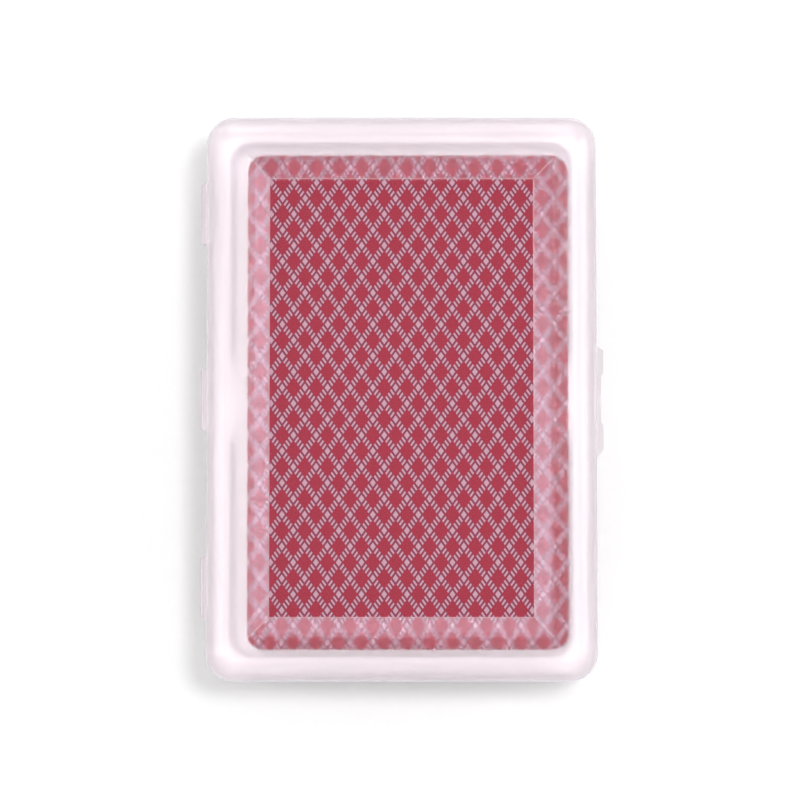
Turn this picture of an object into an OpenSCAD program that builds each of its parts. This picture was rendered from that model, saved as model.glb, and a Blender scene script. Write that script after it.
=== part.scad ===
// Playing card deck in a hinged case of frosted, see-through polypropylene.
// The closed case lies on its tray, with the cards face down inside.
// +X points to the latch, +Y runs along the long side and +Z points up.
// The origin is the middle of the flat face that the tray rests on.

/* [Cards] */
// Width of one card
card_w = 57; // [50:0.5:64]
// Length of one card
card_l = 88; // [80:0.5:96]
// Thickness of one card
card_t = 0.28; // [0.2:0.01:0.36]
// Corner radius of one card
card_corner_r = 3; // [1.5:0.25:5]
// Air between one card and the next
card_air = 0.01; // [0.005:0.005:0.03]

/* [Pocket for the deck] */
// Play between the centred deck and the pocket, on each side
pocket_play = 1.4; // [0.6:0.1:3]
// Thickness of the pocket wall
pocket_wall = 1; // [0.7:0.1:1.6]
// Height of the pocket wall above the parting line
pocket_rise = 2.5; // [1.5:0.25:4]
// Radius of the thumb scoops in the pocket's long walls
scoop_r = 9; // [6:0.5:14]
// Depth of the thumb scoops below the pocket's top edge
scoop_depth = 5; // [2:0.25:6]

/* [Case] */
// Thickness of the upright walls
wall = 1.2; // [0.8:0.1:1.6]
// Thickness of the floor, the roof and the window
panel_t = 1; // [0.8:0.1:1.4]
// Space between the pocket wall and the case wall
wall_gap = 2.7; // [1.5:0.1:4]
// Corner radius of the case, seen from above
corner_r = 5; // [4.75:0.25:7]
// Radius of the rounded edges round the floor and the roof
edge_r = 4.5; // [3:0.25:4.75]

/* [Window in the lid] */
// Flat land between the rounded edge and the recess
land_w = 2.55; // [1:0.05:4]
// Width of the recess's bevel, seen from above and measured to its unrounded top edge
bevel_run = 3.2; // [2.4:0.1:4.5]
// Radius of the bevel's rounded top edge
brink_r = 4; // [1:0.25:5]
// Depth of the recess below the roof
recess_depth = 1.8; // [1:0.1:2.2]
// Air between the top card and the window
window_gap = 0.25; // [0.15:0.05:0.6]

/* [Rim] */
// Gap between the rims of the closed halves
rim_gap = 0.06; // [0.04:0.02:0.2]
// Thickness of the tray's locating lip
lip_t = 0.5; // [0.35:0.05:0.6]
// Height of the lip above the parting line
lip_h = 1.2; // [0.9:0.1:2]
// Clearance round the lip
lip_clear = 0.12; // [0.08:0.02:0.2]
// Radius of the snap bead on the lip
bead_r = 0.22; // [0.15:0.01:0.26]
// Length of the snap bead
bead_l = 16; // [8:0.5:24]

/* [Hinge] */
// Distance from the case's end to the middle of its nearest hinge
hinge_inset = 16.7; // [14:0.1:24]
// Length of a hinge at the case wall
hinge_root_l = 11.7; // [8:0.1:14]
// Length of a hinge at its outer edge
hinge_tip_l = 10.4; // [6:0.1:11.5]
// Reach of the stiff hinge lugs beyond the case wall
lug_out = 0.88; // [0.4:0.01:1.2]
// Thickness of the thin web that bends
web_t = 0.3; // [0.2:0.02:0.4]
// Inside radius of the folded web
web_in_r = 0.12; // [0.08:0.01:0.2]

/* [Latch] */
// Reach of the lid's tab beyond the case wall
tab_out = 1.4; // [0.8:0.05:1.8]
// Height of the tab at the case wall
tab_h = 2.6; // [1.6:0.1:3.5]
// Height of the tab's outer edge
tab_edge_h = 1.3; // [0.8:0.1:1.5]
// Length of the tab's lobe on the +Y side
far_lobe_l = 5.4; // [4:0.1:8]
// Length of the tab's lobe on the -Y side
near_lobe_l = 6.7; // [4:0.1:9]
// Length of the thumb notch between the lobes
notch_l = 8.3; // [5:0.1:12]
// Depth of the thumb notch
notch_depth = 0.45; // [0.2:0.05:0.6]
// Chamfer along the wall at the tab's +Y end
far_chamfer = 0.75; // [0.3:0.05:1.5]
// Chamfer along the wall at the tab's -Y end
near_chamfer = 1.75; // [0.5:0.05:2.5]
// Offset of the tab's middle towards -Y
tab_offset = 0.55; // [0:0.05:2]

/* [Hidden] */
$fn = 96;
cut = 1;

suits = ["hearts", "clubs", "diamonds", "spades"];
ranks = ["two", "three", "four", "five", "six", "seven", "eight", "nine", "ten",
         "jack", "queen", "king", "ace"];
card_names = concat(
    [for (suit = suits) for (rank = ranks) str(rank, "_of_", suit)],
    ["red_joker", "black_joker"]
);
web_names = ["near_hinge_web", "middle_hinge_web", "far_hinge_web"];

// Where the deck lies in its pocket, as shares of the play
deck_place_shares = [0.79, -0.5];
deck_x = pocket_play * deck_place_shares[0];
deck_y = pocket_play * deck_place_shares[1];
card_step = card_t + card_air;
deck_h = len(card_names) * card_step;

// Plan of the case, built outwards from the cards
pocket_w = card_w + 2 * pocket_play;
pocket_l = card_l + 2 * pocket_play;
case_margin = pocket_wall + wall_gap + wall;
case_w = pocket_w + 2 * case_margin;
case_l = pocket_l + 2 * case_margin;

// Heights of the case, built up from the cards. Tray and lid are equally deep.
deck_top = panel_t + deck_h;
window_under = deck_top + window_gap;
window_top = window_under + panel_t;
case_h = window_top + recess_depth;
parting_z = case_h / 2;
tray_rim_z = parting_z - rim_gap / 2;
lid_rim_z = parting_z + rim_gap / 2;

// Window and recess in the lid's roof
bevel_angle = atan(recess_depth / bevel_run);
brink_reach = brink_r * tan(bevel_angle / 2);
window_inset = edge_r + land_w + brink_reach + bevel_run;
window_w = case_w - 2 * window_inset;
window_l = case_l - 2 * window_inset;
under_grow = panel_t * tan(bevel_angle / 2);

// Lead-in chamfers on the lip and the pocket wall
lip_lead = lip_t / 2;
pocket_lead = pocket_wall / 2;

// Depth to which ribs, lips and lugs are rooted in the floor or the wall that carries them
floor_root = panel_t / 2;
wall_root = wall / 2;

// Folded web of each hinge
web_out_r = web_in_r + web_t;
hinge_out = lug_out + web_out_r;
lug_edge_h = web_out_r + web_t;
lug_root_h = lug_edge_h + lug_out;
wall_x = case_w / 2;
hinge_y = case_l / 2 - hinge_inset;
hinge_places = [-hinge_y, 0, hinge_y];

tab_l = far_lobe_l + notch_l + near_lobe_l;
tab_top_y = tab_l / 2 - tab_offset;
tab_low_y = tab_top_y - tab_l;
notch_top_y = tab_top_y - far_lobe_l;
notch_low_y = tab_low_y + near_lobe_l;
notch_out = tab_out - notch_depth;

plastic = [0.93, 0.88, 0.91, 0.6];
web_plastic = [0.9, 0.84, 0.88, 0.7];
card_red = [0.72, 0.16, 0.26];

// Sweeps a flat profile round a rectangle with round corners. The profile's x runs outwards
// from the middle of the corner's arc, and its y runs up.
module round_sweep(w, l, r) {
    run_x = w - 2 * r;
    run_y = l - 2 * r;
    for (quarter = [0:3]) {
        even = quarter % 2 == 0;
        corner_x = even ? run_x / 2 : run_y / 2;
        corner_y = even ? run_y / 2 : run_x / 2;
        rotate(90 * quarter)
            translate([corner_x, corner_y, 0]) {
                rotate_extrude(angle = 90) children();
                rotate([90, 0, 0]) linear_extrude(2 * corner_y) children();
            }
    }
}

// Rectangle from the axis outwards, with its lower outer corner rounded
module rounded_profile(w, h, r) {
    difference() {
        square([w, h]);
        translate([w - r, 0]) difference() {
            square([r, r]);
            translate([0, r]) circle(r);
        }
    }
}

// Wall, rounded edge and the start of the floor, cut through one side of the case
module shell_profile() {
    difference() {
        rounded_profile(corner_r, tray_rim_z, edge_r);
        translate([0, panel_t]) rounded_profile(corner_r - wall, tray_rim_z, edge_r - wall);
    }
}

// One half of the case: a shallow pan with a flat floor
module half_shell() {
    round_sweep(case_w, case_l, corner_r) shell_profile();
    floor_w = case_w - corner_r - edge_r;
    floor_l = case_l - corner_r - edge_r;
    translate([-floor_w / 2, -floor_l / 2, 0]) cube([floor_w, floor_l, panel_t]);
}

// Flat floor between two sides that lean outwards, for the window and its bevels
module pan_profile(floor_w, run, rise) {
    polygon([[-floor_w / 2, 0], [floor_w / 2, 0],
             [floor_w / 2 + run, rise], [-floor_w / 2 - run, rise]]);
}

// Outline of the recess over the window, whose bevels round over into the roof
module recess_profile(floor_w) {
    brink_x = floor_w / 2 + bevel_run + brink_reach;
    turn_x = brink_x - brink_r * sin(bevel_angle);
    turn_y = recess_depth - brink_r + brink_r * cos(bevel_angle);
    difference() {
        polygon([[-floor_w / 2, 0], [floor_w / 2, 0], [turn_x, turn_y],
                 [brink_x, recess_depth], [brink_x, recess_depth + cut],
                 [-brink_x, recess_depth + cut], [-brink_x, recess_depth], [-turn_x, turn_y]]);
        for (side = [-1, 1])
            translate([side * brink_x, recess_depth - brink_r]) circle(brink_r);
    }
}

// Where two upright profiles cross at right angles, so that their sides meet in mitred corners.
// The first one spans the width and the second one the length.
module mitred(w, l) {
    intersection() {
        rotate([90, 0, 0]) linear_extrude(l, center = true) children(0);
        rotate(90) rotate([90, 0, 0]) linear_extrude(w, center = true) children(1);
    }
}

// Window and bevels, one panel thick below the recess and rooted in the roof
module window_pan() {
    under_w = window_w + 2 * under_grow;
    under_l = window_l + 2 * under_grow;
    rise = recess_depth + floor_root;
    run = bevel_run * rise / recess_depth;
    mitred(under_w + 2 * run, under_l + 2 * run) {
        pan_profile(under_w, run, rise);
        pan_profile(under_l, run, rise);
    }
}

// Recess over the window
module recess() {
    mitred(case_w, case_l) {
        recess_profile(window_w);
        recess_profile(window_l);
    }
}

// Lip that stands on the inner half of the tray's rim, with a lead-in at its top
module locating_lip() {
    translate([0, 0, parting_z])
        round_sweep(case_w, case_l, corner_r)
            translate([corner_r - wall, 0])
                polygon([[0, -wall_root], [lip_t, -wall_root], [lip_t, lip_h - lip_lead],
                         [lip_t - lip_lead, lip_h], [0, lip_h]]);
}

// Round bar along the front wall, for the snap bead and its groove
module snap_bar(r, l) {
    translate([wall_x - wall + lip_t, 0, parting_z + lip_h / 2 - lip_lead / 2])
        rotate([90, 0, 0]) cylinder(r = r, h = l, center = true);
}

// Wall round the deck, with a lead-in at its top and a thumb scoop in each long side
module pocket_ring() {
    pocket_h = parting_z + pocket_rise - panel_t;
    outer_r = card_corner_r + pocket_wall;
    difference() {
        translate([0, 0, panel_t])
            round_sweep(pocket_w + 2 * pocket_wall, pocket_l + 2 * pocket_wall, outer_r)
                translate([card_corner_r, 0])
                    polygon([[0, -floor_root], [pocket_wall, -floor_root], [pocket_wall, pocket_h],
                             [pocket_lead, pocket_h], [0, pocket_h - pocket_lead]]);
        translate([0, 0, parting_z + pocket_rise + scoop_r - scoop_depth])
            rotate([0, 90, 0]) cylinder(r = scoop_r, h = case_w, center = true);
    }
}

// Plan of a hinge out to a given reach: a tab whose ends draw in as it leaves the wall
module hinge_plan(reach) {
    draw_in = (hinge_root_l - hinge_tip_l) / 2 * reach / hinge_out;
    polygon([[wall_root, hinge_root_l / 2], [wall_root, -hinge_root_l / 2],
             [0, -hinge_root_l / 2], [-reach, draw_in - hinge_root_l / 2],
             [-reach, hinge_root_l / 2 - draw_in], [0, hinge_root_l / 2]]);
}

// Stiff lugs of the hinges on the lid's rim. The tray has the same ones, turned over.
module hinge_lugs() {
    for (place = hinge_places)
        translate([-wall_x, place, lid_rim_z])
            intersection() {
                linear_extrude(lug_root_h) hinge_plan(lug_out);
                rotate([90, 0, 0])
                    linear_extrude(hinge_root_l, center = true)
                        polygon([[wall_root, 0], [-lug_out, 0], [-lug_out, lug_edge_h],
                                 [0, lug_root_h], [wall_root, lug_root_h]]);
            }
}

// Wedge that thins towards its outer edge, along Y
module tab_wedge(l) {
    rotate([90, 0, 0])
        linear_extrude(2 * l, center = true)
            polygon([[-wall_root, 0], [tab_out, 0], [tab_out, tab_edge_h], [0, tab_h],
                     [-wall_root, tab_h]]);
}

// Thumb tab on the lid's rim: two lobes with a notch between them
module lid_tab() {
    translate([wall_x, 0, lid_rim_z])
        intersection() {
            linear_extrude(tab_h)
                polygon([[0, tab_top_y], [tab_out, tab_top_y - far_chamfer],
                         [tab_out, notch_top_y + notch_depth], [notch_out, notch_top_y],
                         [notch_out, notch_low_y], [tab_out, notch_low_y - notch_depth],
                         [tab_out, tab_low_y + near_chamfer], [0, tab_low_y],
                         [-wall_root, tab_low_y], [-wall_root, tab_top_y]]);
            tab_wedge(tab_l);
        }
}

// Thumb rest on the tray's rim, below the notch in the lid's tab
module tray_tab() {
    translate([wall_x, 0, tray_rim_z])
        mirror([0, 0, 1])
            intersection() {
                linear_extrude(tab_h)
                    polygon([[0, notch_top_y], [notch_out, notch_top_y - notch_out],
                             [notch_out, notch_low_y + notch_out], [0, notch_low_y],
                             [-wall_root, notch_low_y], [-wall_root, notch_top_y]]);
                tab_wedge(tab_l);
            }
}

// Turns a shape over about the middle of the closed case's height
module turned_over() {
    translate([0, 0, case_h]) mirror([0, 0, 1]) children();
}

module tray() {
    color(plastic) {
        half_shell();
        locating_lip();
        snap_bar(bead_r, bead_l);
        pocket_ring();
        turned_over() hinge_lugs();
        tray_tab();
    }
}

// Roof with its sunk window, over a skirt that has a rebate for the tray's lip
module lid() {
    color(plastic)
        difference() {
            union() {
                turned_over() half_shell();
                translate([0, 0, window_under]) window_pan();
                hinge_lugs();
                lid_tab();
            }
            translate([0, 0, window_top]) recess();
            translate([0, 0, parting_z - cut])
                round_sweep(case_w, case_l, corner_r)
                    translate([corner_r - wall - lip_clear, 0])
                        square([lip_t + 2 * lip_clear, cut + lip_h + lip_clear]);
            snap_bar(bead_r + lip_clear / 2, bead_l + 2 * lip_clear);
        }
}

// Thin web, folded round the rim joint, that carries the lid and bends when it opens
module hinge_web(place) {
    color(web_plastic)
        translate([-wall_x, place, parting_z])
            intersection() {
                translate([-lug_out, 0, 0])
                    rotate([90, 0, 0])
                        linear_extrude(hinge_root_l, center = true)
                            difference() {
                                circle(web_out_r);
                                circle(web_in_r);
                                translate([0, -web_out_r]) square(2 * web_out_r);
                            }
                translate([0, 0, -web_out_r]) linear_extrude(2 * web_out_r) hinge_plan(hinge_out);
            }
}

// One card, counted from the bottom of the deck
module card(place) {
    inner_w = card_w - 2 * card_corner_r;
    inner_l = card_l - 2 * card_corner_r;
    color(card_red)
        translate([deck_x, deck_y, panel_t + card_air + place * card_step]) {
            translate([-card_w / 2, -inner_l / 2, 0]) cube([card_w, inner_l, card_t]);
            translate([-inner_w / 2, -card_l / 2, 0]) cube([inner_w, card_l, card_t]);
            for (side = [-1, 1], end = [-1, 1])
                translate([side * inner_w / 2, end * inner_l / 2, 0])
                    cylinder(r = card_corner_r, h = card_t);
        }
}

tray();
lid();
for (i = [0:len(web_names) - 1]) hinge_web(hinge_places[i]);
for (i = [0:len(card_names) - 1]) card(i);
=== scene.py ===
"""Looks of a deck of playing cards that lies face down in a hinged case of frosted polypropylene."""
import math
from functools import partial

import bmesh
import bpy
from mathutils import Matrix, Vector


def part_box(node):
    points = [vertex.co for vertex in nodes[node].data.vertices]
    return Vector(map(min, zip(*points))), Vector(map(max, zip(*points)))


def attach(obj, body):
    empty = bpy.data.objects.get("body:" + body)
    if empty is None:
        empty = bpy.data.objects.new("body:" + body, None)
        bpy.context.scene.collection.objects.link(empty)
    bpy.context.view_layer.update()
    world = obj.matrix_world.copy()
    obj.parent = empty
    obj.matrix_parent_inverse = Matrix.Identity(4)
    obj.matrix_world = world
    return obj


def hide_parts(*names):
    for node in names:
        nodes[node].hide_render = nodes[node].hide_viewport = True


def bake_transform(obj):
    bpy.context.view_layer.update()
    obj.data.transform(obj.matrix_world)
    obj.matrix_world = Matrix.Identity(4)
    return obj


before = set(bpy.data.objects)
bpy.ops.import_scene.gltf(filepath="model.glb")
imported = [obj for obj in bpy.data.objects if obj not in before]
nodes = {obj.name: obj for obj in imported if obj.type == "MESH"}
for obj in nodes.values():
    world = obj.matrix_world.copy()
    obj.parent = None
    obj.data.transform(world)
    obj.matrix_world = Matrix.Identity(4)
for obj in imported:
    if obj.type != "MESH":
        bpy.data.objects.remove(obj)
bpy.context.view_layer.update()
MM = 0.001

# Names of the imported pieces
HINGES = ["near_hinge_web", "middle_hinge_web", "far_hinge_web"]
CARDS = [name for name in nodes if name not in ("tray", "lid", *HINGES)]
BOTTOM_CARD = "two_of_hearts"
TOP_CARD = "black_joker"

# Sizes of the case in millimetres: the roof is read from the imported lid, which doesn't say the others
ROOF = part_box("lid")[1].z / MM
CASE_HALF_WIDTH = 34.8
WINDOW_HALF = (23.5, 39.0)
WINDOW_UNDERSIDE = 16.91
WINDOW_TOP = 17.91
BEVEL_REACH = 5.0
CREASE_ROUNDING = 0.11
WEB_THICKNESS = 0.3
WEB_ROOT_LENGTH = 10.82
WEB_CROWN_LENGTH = 10.4
# What still counts as the same place, and how far a web keeps inside its packed box
TOUCH = 0.02
HAIR = 0.0001
# Edges that turn more than this stay crisp
SHARP_EDGE = math.radians(14)

# Textures of plastic and paper, in millimetres
MELT_CLOUD = 14
MOULD_GRIT = 0.25
CARD_FIBRE = 0.6
FLOOR_TOOTH = 1.5
GRAIN_DEPTH = 0.01
# The tray's plastic ends and the lid's begins between these heights
TRAY_TO_LID = (8, 10)

# Diamond trellis of the card backs: step and shift in millimetres, the rest in shares of a step
TRELLIS_STEP = (4.03, 5.64)
TRELLIS_SHIFT = (-0.14, -0.35)
CROSSING_HALF = 0.128
BAND_HALF = 0.15
RUNG_PLACE = 0.29
RUNG_HALF = 0.05
INK_EDGE = 0.012

# Print on the face of the two of hearts, in millimetres: x, y and half the width of a heart
PIP = (0.0, 27.0, 4.8)
CORNER_HEART = (-24.6, 33.2, 1.6)
FIGURE_PLACE = (-24.6, 38.6)
# The figure 2 has a hook, a slope (the direction across it, its shift that way, and its middle and half
# height) and a foot, with strokes of one width
HOOK_RADIUS = 1.2
SLOPE_ACROSS = (-0.76, 0.65)
SLOPE_SHIFT = -0.35
SLOPE_HEIGHT = (-0.95, 1.3)
FOOT_HEIGHT = -2.15
FOOT_HALF = 1.5
STROKE_HALF = 0.4
# How far the curve of a heart reaches to each side before it is scaled
HEART_CURVE_HALF = 1.14


def linear(hex_colour):
    """A colour written as sRGB hex, turned to the linear values that shaders take."""
    parts = [int(hex_colour[i:i + 2], 16) / 255 for i in (1, 3, 5)]
    return [p / 12.92 if p <= 0.04045 else ((p + 0.055) / 1.055) ** 2.4 for p in parts] + [1.0]


def add(tree, kind, inputs=(), **settings):
    """Adds a shader node, sets it up and fills its inputs, in turn from a list or by name from a dict. A node
    that is given as an input stands for its first output."""
    made = tree.nodes.new("ShaderNode" + kind)
    for name, value in settings.items():
        setattr(made, name, value)
    for key, value in inputs.items() if isinstance(inputs, dict) else enumerate(inputs):
        if isinstance(value, bpy.types.Node):
            value = next(output for output in value.outputs if output.enabled)
        if isinstance(value, bpy.types.NodeSocket):
            tree.links.new(value, made.inputs[key])
        else:
            made.inputs[key].default_value = value
    return made


def empty_material(name):
    """A material with an empty node tree."""
    material = bpy.data.materials.new(name)
    material.use_nodes = True
    material.node_tree.nodes.clear()
    return material


def polypropylene(name, clear, milk, lamplight, wall_milk=None, grit=None, haze=0.42, sheen="#f4f3fa"):
    """Moulded polypropylene: a clear share of the light goes straight through, the rest is spread a little by
    the finish of the mould, so that what lies deeper blurs, and a milky share glows white. Walls may look
    milkier than panels, as they are seen along their height. The gloss mirrors the softboxes."""
    material = empty_material(name)
    put = partial(add, material.node_tree)
    coords = put("TexCoord").outputs
    place = coords["Object"]
    upright = put("SeparateXYZ", [coords["Normal"]]).outputs["Z"]
    level = put("Math", [upright], operation="ABSOLUTE")
    # Slow clouds from the flow of the melt
    flow = put("TexNoise", {"Vector": place, "Scale": 1 / (MELT_CLOUD * MM), "Detail": 2.0})
    tint = put("Mix", {"Factor": flow, "A": linear("#fefcfd"), "B": linear("#fdfafb")}, data_type="RGBA")
    grain = {}
    if grit is not None:
        # Fine grit, etched in the mould
        etching = put("TexNoise", {"Vector": place, "Scale": 1 / (MOULD_GRIT * MM), "Detail": 1.0})
        grain["Normal"] = put("Bump", {"Height": etching, "Strength": grit, "Distance": GRAIN_DEPTH * MM})
    if wall_milk is not None:
        milk = put("MapRange", {"Value": level, "From Min": 0.3, "From Max": 0.95, "To Min": wall_milk,
                                "To Max": milk}, interpolation_type="SMOOTHSTEP")

    through = put("BsdfTransparent", {"Color": tint})
    spread = put("BsdfGlass", {"Color": tint, "Roughness": haze, "IOR": 1.3}, distribution="MULTI_GGX")
    passed = put("MixShader", [clear, spread, through])
    front = put("BsdfDiffuse", {"Color": linear("#f7f2f4")})
    back = put("BsdfTranslucent", {"Color": linear("#fdfafb")})
    white = put("MixShader", [0.5, front, back])
    body = put("MixShader", [milk, passed, white])
    # A gloss of 4 per cent that rises at a glancing angle, the same from outside and inside
    glance = put("LayerWeight", {"Blend": 0.5, **grain}).outputs["Facing"]
    rise = put("Math", [glance, 5.0], operation="POWER")
    mirror = put("MapRange", {"Value": rise, "To Min": 0.04, "To Max": 1.0})
    gloss = put("BsdfAnisotropic", {"Color": linear(sheen), "Roughness": 0.18, **grain})
    shown = put("MixShader", [mirror, body, gloss])

    # Lamps shine through the lid as far as its finish lets them, freely through the tray's floor, and little
    # along the upright walls
    height = put("SeparateXYZ", [place]).outputs["Z"]
    low, high = TRAY_TO_LID
    tray_share = put("MapRange", {"Value": height, "From Min": low * MM, "From Max": high * MM, "To Min": 1.0,
                                  "To Max": 0.0}, interpolation_type="SMOOTHSTEP")
    panel = put("Mix", {"Factor": tray_share, "A": linear(lamplight), "B": linear("#faf9f9")},
                data_type="RGBA")
    wall_share = put("MapRange", {"Value": level, "From Min": 0.1, "From Max": 0.5, "To Min": 1.0,
                                  "To Max": 0.0})
    let_in = put("Mix", {"Factor": wall_share, "A": panel, "B": linear("#303030")}, data_type="RGBA")
    lit = put("BsdfTransparent", {"Color": let_in})
    for_lamps = put("LightPath").outputs["Is Shadow Ray"]
    put("OutputMaterial", {"Surface": put("MixShader", [for_lamps, shown, lit])})
    return material


# Finishes of the case: frosted walls and roof, a solid latch, bevels with a light frost and a cool sheen, a
# window that is polished clear, and rounded creases made milky so that they show as pale lines, a painted
# highlight
frosted = polypropylene("frosted_polypropylene", clear=0.25, milk=0.02, lamplight="#aaa8a9", wall_milk=0.4,
                        grit=0.15)
solid = polypropylene("solid_polypropylene", clear=0.1, milk=0.6, lamplight="#d6d4d5", grit=0.15)
bevelled = polypropylene("bevelled_polypropylene", clear=0.2, milk=0.04, lamplight="#dcdbdb", haze=0.36,
                         sheen="#dfeaff")
polished = polypropylene("polished_polypropylene", clear=1.0, milk=0.02, lamplight="#faf9f9")
# Milky rounded creases: their pale lines are a painted highlight, added to what the rounding really mirrors
painted_crease_highlight = polypropylene("painted_crease_highlight_polypropylene", clear=0.2, milk=0.5, lamplight="#f4f3f3")


def trellis_back(put, place, middle, fibre):
    """Colour of a card's back: red ink with a trellis of duller bands whose crossings and rungs are light."""
    scale = [1 / (step * MM) for step in TRELLIS_STEP]
    mapped = put("Mapping", {"Vector": place, "Scale": (*scale, 1.0),
                             "Location": (-middle.x * scale[0], -middle.y * scale[1], 0.0)})
    spot = put("SeparateXYZ", [mapped]).outputs
    # Distance to the nearest line of each of the trellis's two directions
    ways = [put("Math", [put("Math", [spot["X"], spot["Y"]], operation=way), 0.5], operation="PINGPONG")
            for way in ("ADD", "SUBTRACT")]

    def mark(distance, half_width):
        """1 within half a printed mark's width, with the soft edge of ink on card."""
        return put("MapRange", {"Value": distance, "From Min": half_width - INK_EDGE,
                                "From Max": half_width + INK_EDGE, "To Min": 1.0, "To Max": 0.0})

    light = mark(put("Math", ways, operation="MAXIMUM"), CROSSING_HALF)
    bands = []
    for along, across in (ways, ways[::-1]):
        # A rung on each side of the crossing, and one halfway to the next
        past_rung = put("Math", [along, RUNG_PLACE], operation="SUBTRACT")
        from_rung = put("Math", [past_rung], operation="ABSOLUTE")
        from_halfway = put("Math", [0.5, along], operation="SUBTRACT")
        rungs = mark(put("Math", [from_rung, from_halfway], operation="MINIMUM"), RUNG_HALF)
        bands.append(mark(across, BAND_HALF))
        ladder = put("Math", [bands[-1], rungs], operation="MULTIPLY")
        light = put("Math", [light, ladder], operation="MAXIMUM")
    ink = put("Mix", {"Factor": fibre, "A": linear("#ac1c3c"), "B": linear("#b42040")}, data_type="RGBA")
    banded = put("Mix", {"Factor": put("Math", bands, operation="MAXIMUM"), "A": ink, "B": linear("#923252")},
                 data_type="RGBA")
    return put("Mix", {"Factor": light, "A": banded, "B": linear("#d9b0c0")}, data_type="RGBA")


def hearts_print(put, place, middle):
    """1 where the face of the two of hearts has ink: pips, and a figure over a small heart in two corners.
    The lower half is the upper one turned over."""
    mapped = put("Mapping", {"Vector": place, "Scale": (1 / MM, 1 / MM, 1.0),
                             "Location": (-middle.x / MM, -middle.y / MM, 0.0)})
    spot = put("SeparateXYZ", [mapped]).outputs
    # Millimetres from the middle of the face, as it is read from below
    turned = put("Math", [put("Math", [spot["Y"]], operation="SIGN"), -1.0], operation="MULTIPLY")
    right = put("Math", [spot["X"], turned], operation="MULTIPLY")
    up = put("Math", [spot["Y"]], operation="ABSOLUTE")

    marks = []
    for *heart_place, half_width in (PIP, CORNER_HEART):
        # A heart is where (u^2 + v^2 - 1)^3 is less than u^2 v^3
        size = HEART_CURVE_HALF / half_width
        u, v = [put("Math", [way, size, -at * size], operation="MULTIPLY_ADD")
                for way, at in zip((right, up), heart_place)]
        squares = [put("Math", [way, 2.0], operation="POWER") for way in (u, v)]
        ring = put("Math", [put("Math", squares, operation="ADD"), 1.0], operation="SUBTRACT")
        lobes = put("Math", [squares[0], put("Math", [v, 3.0], operation="POWER")], operation="MULTIPLY")
        marks.append(put("Math", [put("Math", [ring, 3.0], operation="POWER"), lobes], operation="LESS_THAN"))

    # The figure 2: each stroke is a line and where it ends
    x, y = [put("Math", [way, at], operation="SUBTRACT") for way, at in zip((right, up), FIGURE_PLACE)]
    top = put("Math", [y, HOOK_RADIUS], operation="SUBTRACT")
    squares = [put("Math", [way, 2.0], operation="POWER") for way in (x, top)]
    radius = put("Math", [put("Math", squares, operation="ADD")], operation="SQRT")
    hook_side = put("Math", [top, x], operation="ADD")
    rise = put("Math", [y, SLOPE_ACROSS[1]], operation="MULTIPLY")
    across_slope = put("Math", [x, SLOPE_ACROSS[0], rise], operation="MULTIPLY_ADD")
    for line, end in (
            (put("Math", [radius, HOOK_RADIUS, STROKE_HALF], operation="COMPARE"),
             put("Math", [hook_side, 0.0], operation="GREATER_THAN")),
            (put("Math", [across_slope, SLOPE_SHIFT, STROKE_HALF], operation="COMPARE"),
             put("Math", [y, *SLOPE_HEIGHT], operation="COMPARE")),
            (put("Math", [y, FOOT_HEIGHT, STROKE_HALF], operation="COMPARE"),
             put("Math", [x, 0.0, FOOT_HALF], operation="COMPARE"))):
        marks.append(put("Math", [line, end], operation="MULTIPLY"))
    printed = marks[0]
    for mark in marks[1:]:
        printed = put("Math", [printed, mark], operation="MAXIMUM")
    return printed


def printed_card(name, trellis_middle, face_middle=None):
    """Varnished card: a diamond trellis left light in red ink on the back, white paper on the face and the
    cut edges, and the two of hearts on a face whose middle is given. The varnish shines softly."""
    material = empty_material(name)
    put = partial(add, material.node_tree)
    coords = put("TexCoord").outputs
    fibre = put("TexNoise", {"Vector": coords["Object"], "Scale": 1 / (CARD_FIBRE * MM), "Detail": 3.0})
    back = trellis_back(put, coords["Object"], trellis_middle, fibre)
    face = put("Mix", {"Factor": fibre, "A": linear("#f3eee6"), "B": linear("#fbf8f2")}, data_type="RGBA")
    if face_middle is not None:
        ink = hearts_print(put, coords["Object"], face_middle)
        face = put("Mix", {"Factor": ink, "A": face, "B": linear("#c2182f")}, data_type="RGBA")
    upright = put("SeparateXYZ", [coords["Normal"]]).outputs["Z"]
    is_back = put("Math", [upright, 0.5], operation="GREATER_THAN")
    colour = put("Mix", {"Factor": is_back, "A": face, "B": back}, data_type="RGBA")
    bump = put("Bump", {"Height": fibre, "Strength": 0.15, "Distance": GRAIN_DEPTH * MM})
    varnish = put("BsdfPrincipled", {"Base Color": colour, "Normal": bump, "Roughness": 0.38, "IOR": 1.5})
    put("OutputMaterial", {"Surface": varnish})
    return material


def in_window(spot, lowest):
    """True in the sunk window and its bevels, from a given height to just below the roof."""
    near = all(abs(at) < (half + BEVEL_REACH) * MM for at, half in zip(spot, WINDOW_HALF))
    return near and lowest - TOUCH < spot.z / MM < ROOF - TOUCH


def is_window_crease(edge):
    """True for the upper creases of the sunk window and its bevels, which the mould leaves a bit round."""
    middle = (edge.verts[0].co + edge.verts[1].co) / 2
    return all(face.normal.z > 0.5 for face in edge.link_faces) and in_window(middle, WINDOW_TOP)


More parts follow.
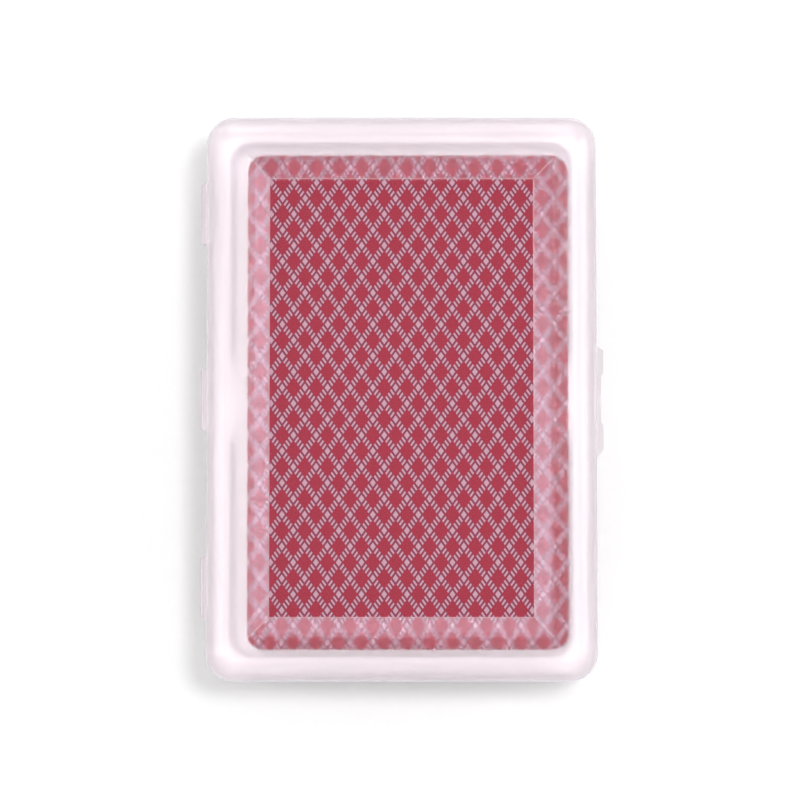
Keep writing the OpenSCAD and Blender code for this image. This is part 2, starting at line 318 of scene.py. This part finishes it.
def moulding(name, body, finishes):
    """A moulded half of the case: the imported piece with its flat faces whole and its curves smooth."""
    bm = bmesh.new()
    bm.from_mesh(nodes[name].data)
    bmesh.ops.remove_doubles(bm, verts=bm.verts, dist=0.0005 * MM)
    bmesh.ops.dissolve_limit(bm, angle_limit=math.radians(0.3), verts=bm.verts, edges=bm.edges)
    rolled = []
    if name == "lid":
        sharp = [edge for edge in bm.edges if edge.calc_face_angle(0.0) > SHARP_EDGE]
        rolled = bmesh.ops.bevel(bm, geom=[edge for edge in sharp if is_window_crease(edge)],
                                 offset=CREASE_ROUNDING * MM, offset_type="OFFSET", segments=2, profile=0.5,
                                 affect="EDGES", material=-1, clamp_overlap=True)["faces"]
    bm.normal_update()
    for face in bm.faces:
        face.smooth = True
        # The latch is solid; the sunk window is polished on both sides, and its bevels are less clear
        if face.calc_center_median().x > (CASE_HALF_WIDTH + TOUCH) * MM:
            face.material_index = finishes.index(solid)
        elif name == "lid" and all(in_window(vert.co, WINDOW_UNDERSIDE) for vert in face.verts):
            face.material_index = finishes.index(polished if abs(face.normal.z) > 0.99 else bevelled)
    # The rounded creases get the milky finish whose pale lines are a painted highlight
    for face in rolled:
        face.material_index = finishes.index(painted_crease_highlight)
    for edge in bm.edges:
        edge.smooth = edge.calc_face_angle(0.0) < SHARP_EDGE
    mesh = bpy.data.meshes.new(name + "_moulding")
    bm.to_mesh(mesh)
    bm.free()
    mesh.attributes.remove(mesh.attributes["custom_normal"])
    for finish in finishes:
        mesh.materials.append(finish)
    piece = bpy.data.objects.new(name + "_moulding", mesh)
    bpy.context.scene.collection.objects.link(piece)
    even = piece.modifiers.new("even_normals", "WEIGHTED_NORMAL")
    even.keep_sharp = True
    even.weight = 100
    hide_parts(name)
    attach(piece, body)


def hinge_web(name, finish):
    """Thin web of a living hinge between tray and lid: a strip of the case's plastic, folded in a half round."""
    low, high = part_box(name)
    middle = Vector((high.x, (low.y + high.y) / 2, (low.z + high.z) / 2))
    outer = (high.z - low.z) / 2 - HAIR * MM
    inner = outer - WEB_THICKNESS * MM
    bm = bmesh.new()
    root = [bm.verts.new((middle.x, y, middle.z - radius))
            for y, radius in ((low.y, outer), (high.y, outer), (high.y, inner), (low.y, inner))]
    face = bm.faces.new(root)
    bmesh.ops.spin(bm, geom=[face, *face.edges, *face.verts], cent=middle, axis=(0, 1, 0), angle=math.pi,
                   steps=16, use_merge=False, use_duplicate=False)
    # The strip narrows towards its crown
    narrowing = WEB_CROWN_LENGTH / WEB_ROOT_LENGTH - 1
    for vert in bm.verts:
        out = (middle.x - vert.co.x) / outer
        vert.co.y = middle.y + (vert.co.y - middle.y) * (1 + narrowing * out)
    bmesh.ops.recalc_face_normals(bm, faces=bm.faces)
    mesh = bpy.data.meshes.new(name + "_strip")
    bm.to_mesh(mesh)
    bm.free()
    mesh.shade_smooth()
    mesh.set_sharp_from_angle(angle=SHARP_EDGE)
    mesh.materials.append(finish)
    piece = bpy.data.objects.new(name + "_strip", mesh)
    bpy.context.scene.collection.objects.link(piece)
    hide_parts(name)
    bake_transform(piece)


# The case
moulding("lid", "case_lid", [frosted, solid, bevelled, polished, painted_crease_highlight])
moulding("tray", "case_tray", [frosted, solid])
for web in HINGES:
    hinge_web(web, frosted)

# Cards: only the bottom one's face can be seen
deck_low, deck_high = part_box(TOP_CARD)
deck_middle = (deck_low + deck_high) / 2
trellis_middle = deck_middle + Vector((*TRELLIS_SHIFT, 0)) * MM
card_stock = printed_card("varnished_card", trellis_middle)
bottom_card_stock = printed_card("varnished_card_two_of_hearts", trellis_middle, deck_middle)
for card in CARDS:
    nodes[card].data.materials.clear()
    nodes[card].data.materials.append(bottom_card_stock if card == BOTTOM_CARD else card_stock)


def softbox(name, angle_from_top, azimuth, distance, size, strength, mirrored=True):
    """A flat lamp that looks at the middle of the case from a given side, with angles in degrees and lengths
    in metres."""
    tilt, turn = math.radians(angle_from_top), math.radians(azimuth)
    way = Vector((math.sin(tilt) * math.cos(turn), math.sin(tilt) * math.sin(turn), math.cos(tilt)))
    lamp = bpy.data.lights.new(name, "AREA")
    lamp.shape = "RECTANGLE"
    lamp.size, lamp.size_y = size
    lamp.energy = strength * lamp.size * lamp.size_y * math.pi
    holder = bpy.data.objects.new(name, lamp)
    holder.location = Vector((0, 0, 10 * MM)) + way * distance
    holder.rotation_euler = (-way).to_track_quat("-Z", "Y").to_euler()
    holder.visible_glossy = mirrored
    bpy.context.scene.collection.objects.link(holder)


def looked_at(tree):
    """1 for rays of sight, straight, mirrored or through the case, and 0 for rays that light something."""
    path = add(tree, "LightPath").outputs
    sight = path["Is Camera Ray"]
    for ray in ("Is Glossy Ray", "Is Transmission Ray"):
        sight = add(tree, "Math", [sight, path[ray]], operation="MAXIMUM")
    first = add(tree, "Math", [path["Diffuse Depth"], 0.5], operation="LESS_THAN")
    return add(tree, "Math", [sight, first], operation="MULTIPLY")


def light_tent():
    """White surround: its sides shine brighter than its top, and what is mirrored is white sides and a dim
    ceiling."""
    world = bpy.data.worlds.new("white_surround")
    world.use_nodes = True
    world.node_tree.nodes.clear()
    put = partial(add, world.node_tree)
    height = put("SeparateXYZ", [put("TexCoord").outputs["Generated"]]).outputs["Z"]
    tent = put("MapRange", {"Value": height, "From Max": 0.7, "To Min": 1.1, "To Max": 0.46})
    ceiling = put("MapRange", {"Value": height, "From Min": 0.05, "From Max": 0.6, "To Min": 1.0,
                               "To Max": 0.15}, interpolation_type="SMOOTHSTEP")
    surround = put("Background", {"Color": linear("#ffffff"), "Strength": tent})
    backdrop = put("Background", {"Color": linear("#ffffff"), "Strength": ceiling})
    put("OutputWorld", {"Surface": put("MixShader", [looked_at(world.node_tree), surround, backdrop])})
    return world


def white_paper():
    """White paper sweep: matt, with a fine tooth. Seen straight or through the lid alone, it is lifted just
    to white. Seen through lid and tray it is lifted more, as the closed case holds and spreads light."""
    material = empty_material("white_paper_sweep")
    put = partial(add, material.node_tree)
    place = put("TexCoord").outputs["Object"]
    tooth = put("TexNoise", {"Vector": place, "Scale": 1 / (FLOOR_TOOTH * MM), "Detail": 2.0})
    tone = put("Mix", {"Factor": tooth, "A": linear("#f8f8f8"), "B": linear("#fcfcfc")}, data_type="RGBA")
    matt = put("BsdfDiffuse", {"Color": tone})
    path = put("LightPath").outputs
    plastic_faces = put("Math", [path["Transmission Depth"], path["Transparent Depth"]], operation="ADD")
    lift = put("MapRange", {"Value": plastic_faces, "From Min": 2.0, "From Max": 3.0, "To Min": 0.04,
                            "To Max": 1.0})
    glow = put("Emission", {"Color": linear("#ffffff"), "Strength": lift})
    lifted = put("AddShader", [matt, glow])
    put("OutputMaterial", {"Surface": put("MixShader", [looked_at(material.node_tree), matt, lifted])})
    return material


# Studio: a light tent, a lamp over the case, a softbox on each side and a white floor just below the tray
scene = bpy.context.scene
scene.view_settings.view_transform = "Standard"
scene.world = light_tent()
softbox("key_light", 16, 30, distance=1.2, size=(0.25, 0.25), strength=22.5, mirrored=False)
softbox("right_softbox", 61, 5, distance=0.8, size=(0.26, 0.44), strength=3.4)
softbox("top_softbox", 66, 90, distance=0.8, size=(0.4, 0.6), strength=1.6)
softbox("left_softbox", 57, 180, distance=0.8, size=(0.2, 0.65), strength=2.8)
softbox("near_softbox", 66, 270, distance=0.8, size=(0.4, 0.4), strength=1.0)
bm = bmesh.new()
bmesh.ops.create_grid(bm, x_segments=1, y_segments=1, size=3.0)
bmesh.ops.translate(bm, verts=bm.verts, vec=(0, 0, -TOUCH * MM))
mesh = bpy.data.meshes.new("floor")
bm.to_mesh(mesh)
bm.free()
mesh.materials.append(white_paper())
floor = bpy.data.objects.new("floor", mesh)
scene.collection.objects.link(floor)

# Camera nearly straight above, leaning a little towards the near end. A millimetre of the top card spans 5.63
# of the picture's 800 pixels
CAMERA_DISTANCE = 583.3
CAMERA_LEAN = math.radians(3.8)
CAMERA_AIM = Vector((-0.27, -0.43, 16.66))
PIXELS_PER_MM = 5.63
PICTURE_WIDTH = 800
lens = bpy.data.cameras.new("camera")
lens.sensor_width = 36.0
lens.lens = PIXELS_PER_MM * CAMERA_DISTANCE / PICTURE_WIDTH * lens.sensor_width
lens.clip_start = 0.01
eye = bpy.data.objects.new("camera", lens)
back_off = Vector((0, -math.sin(CAMERA_LEAN), math.cos(CAMERA_LEAN))) * CAMERA_DISTANCE
eye.location = (CAMERA_AIM + back_off) * MM
eye.rotation_euler = (CAMERA_LEAN, 0, 0)
scene.collection.objects.link(eye)
scene.camera = eye
